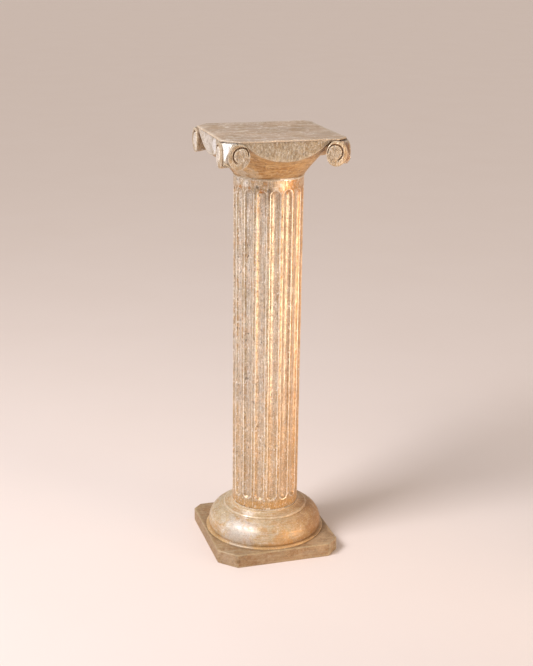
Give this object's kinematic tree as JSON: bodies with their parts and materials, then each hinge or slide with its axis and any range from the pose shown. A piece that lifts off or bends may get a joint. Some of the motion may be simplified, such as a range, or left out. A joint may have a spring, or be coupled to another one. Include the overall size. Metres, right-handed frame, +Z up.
{
  "type": "column pedestal",
  "caption": "Tall fluted column pedestal of carved wood with a scrolled capital, a flat top board, a turned base and a square canted plinth, for standing a vase or plant on.",
  "frame": {"origin": "middle of the underside of the plinth, on the floor", "axes": "+Z up the column, -Y towards the front, +X to the right when seen from the front"},
  "size_m": [0.294, 0.294, 1],
  "materials": {
    "plinth_wood": "limed wood with worn champagne gilding, satin",
    "base_wood": "limed wood with worn champagne gilding, satin",
    "shaft_wood": "limed wood with worn gold and silver gilding, satin",
    "capital_wood": "limed wood with worn gold gilding, satin",
    "board_wood": "limed wood, rubbed smooth, satin"
  },
  "bodies": {
    "root": {"plinth": "plinth_wood", "base_moulding": "base_wood", "shaft": "shaft_wood", "capital": "capital_wood", "top_board": "board_wood"}
  },
  "joints": []
}
